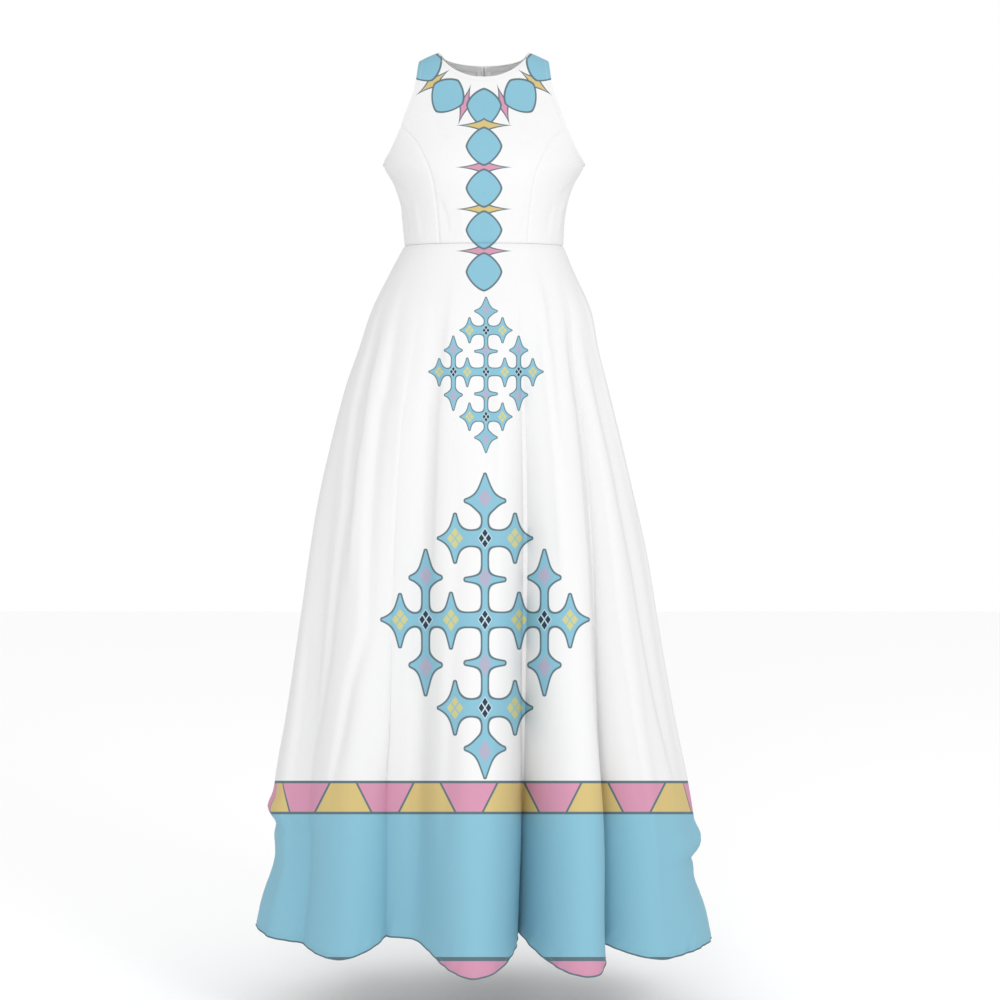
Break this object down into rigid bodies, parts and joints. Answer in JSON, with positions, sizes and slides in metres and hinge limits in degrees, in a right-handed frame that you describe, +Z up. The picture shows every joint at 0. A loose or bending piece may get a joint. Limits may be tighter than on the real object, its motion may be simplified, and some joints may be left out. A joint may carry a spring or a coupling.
{
  "type": "habesha kemis dress",
  "caption": "Sleeveless full-length habesha kemis dress, fitted to the waist and flared in soft folds below it, hollow and filled out as worn, with a zip at the back.",
  "frame": {"origin": "where the wearer's shoulders carry the dress: midway between the shoulder seams, level with the points where those seams meet the neckline", "axes": "+Z up, the front faces -Y, +X towards the wearer's left"},
  "size_m": [0.7356, 0.5697, 1.417],
  "materials": {
    "printed_cloth": "smooth white woven cloth with a printed ornament and border, faint sheen",
    "zip_tape": "woven tape",
    "zip_metal": "white enamel"
  },
  "bodies": {
    "dress": {"bodice_front": "printed_cloth", "bodice_side_front_left": "printed_cloth", "bodice_side_front_right": "printed_cloth", "bodice_back_left": "printed_cloth", "bodice_back_right": "printed_cloth", "skirt_front": "printed_cloth", "skirt_back_left": "printed_cloth", "skirt_back_right": "printed_cloth", "zip_tape_left": "zip_tape", "zip_tape_right": "zip_tape", "zip_slider": "zip_metal"},
    "pull_tab": {"zip_pull": "zip_metal"}
  },
  "joints": [
    {"name": "pull_tab_swing", "type": "hinge", "parent": "dress", "child": "pull_tab", "pos_m": [0, 0.06775, -0.02617], "axis": [1, 0, 0], "range_deg": [0, 150]}
  ]
}
